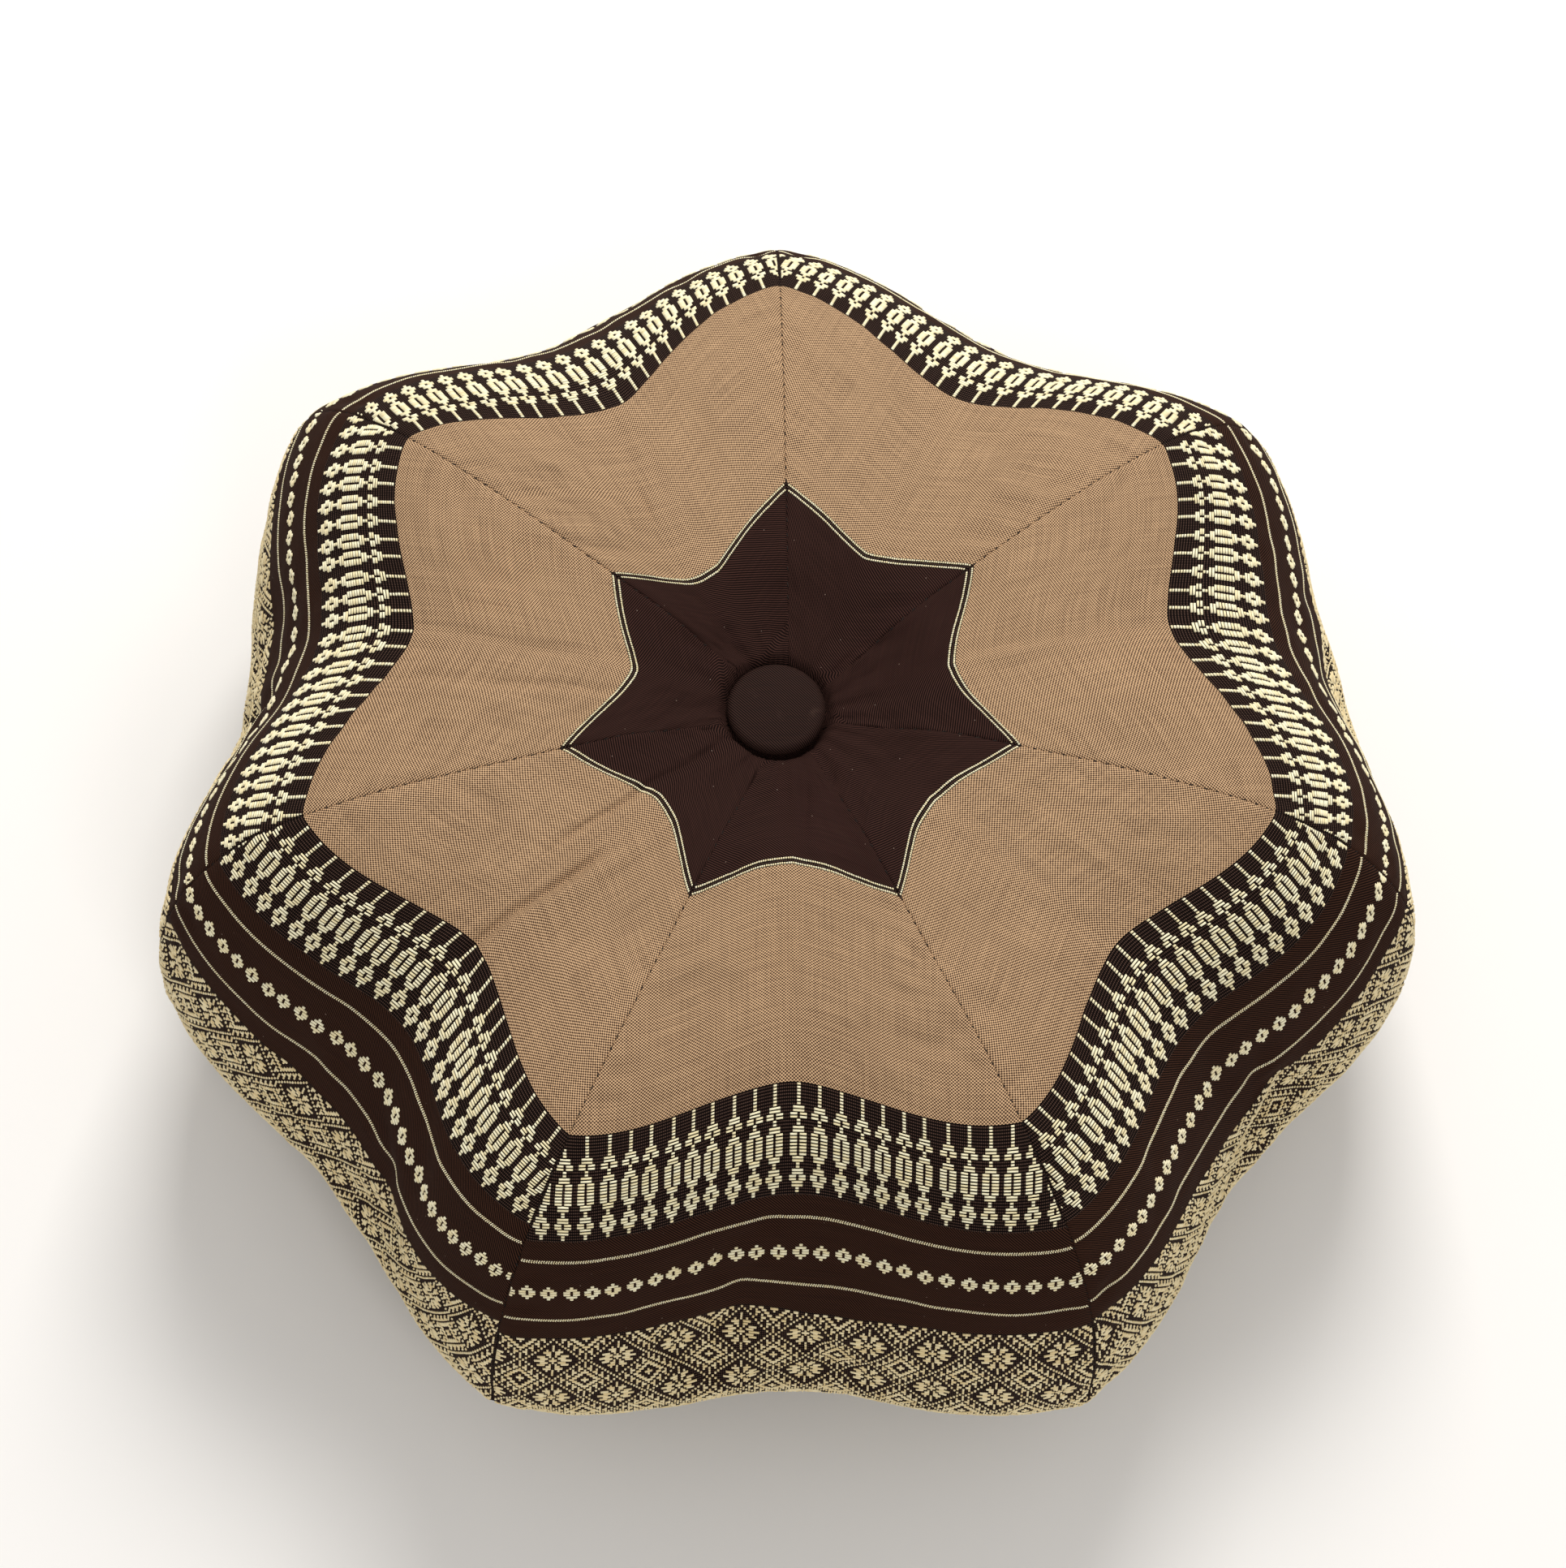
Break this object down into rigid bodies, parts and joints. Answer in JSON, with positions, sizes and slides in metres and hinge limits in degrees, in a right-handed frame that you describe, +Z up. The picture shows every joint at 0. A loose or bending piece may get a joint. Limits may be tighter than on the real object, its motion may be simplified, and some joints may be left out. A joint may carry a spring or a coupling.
{
  "type": "floor cushion",
  "caption": "Round stuffed floor cushion with a lobed flower outline, sewn from patterned woven gores and drawn in by a covered button above and below.",
  "frame": {"origin": "centre of the outline's box, on the plane that the cushion stands on", "axes": "+Z up out of the crown, +Y towards the seam at the back, +X to the right of the front gore"},
  "size_m": [0.5576, 0.5448, 0.2509],
  "materials": {
    "gore_cloth": "matte",
    "sewing_thread": "matte",
    "kapok": "matte",
    "button_cloth": "matte",
    "button_metal": "satin",
    "twine": "matte"
  },
  "bodies": {
    "root": {"panel_1": "gore_cloth", "panel_2": "gore_cloth", "panel_3": "gore_cloth", "panel_4": "gore_cloth", "panel_5": "gore_cloth", "panel_6": "gore_cloth", "panel_7": "gore_cloth", "seam_thread_1": "sewing_thread", "seam_thread_2": "sewing_thread", "seam_thread_3": "sewing_thread", "seam_thread_4": "sewing_thread", "seam_thread_5": "sewing_thread", "seam_thread_6": "sewing_thread", "seam_thread_7": "sewing_thread", "kapok_fill": "kapok", "top_button_cover": "button_cloth", "top_button_shell": "button_metal", "top_button_back": "button_metal", "top_button_loop": "button_metal", "bottom_button_cover": "button_cloth", "bottom_button_shell": "button_metal", "bottom_button_back": "button_metal", "bottom_button_loop": "button_metal", "tufting_twine": "twine", "twine_knot": "twine"}
  },
  "joints": []
}
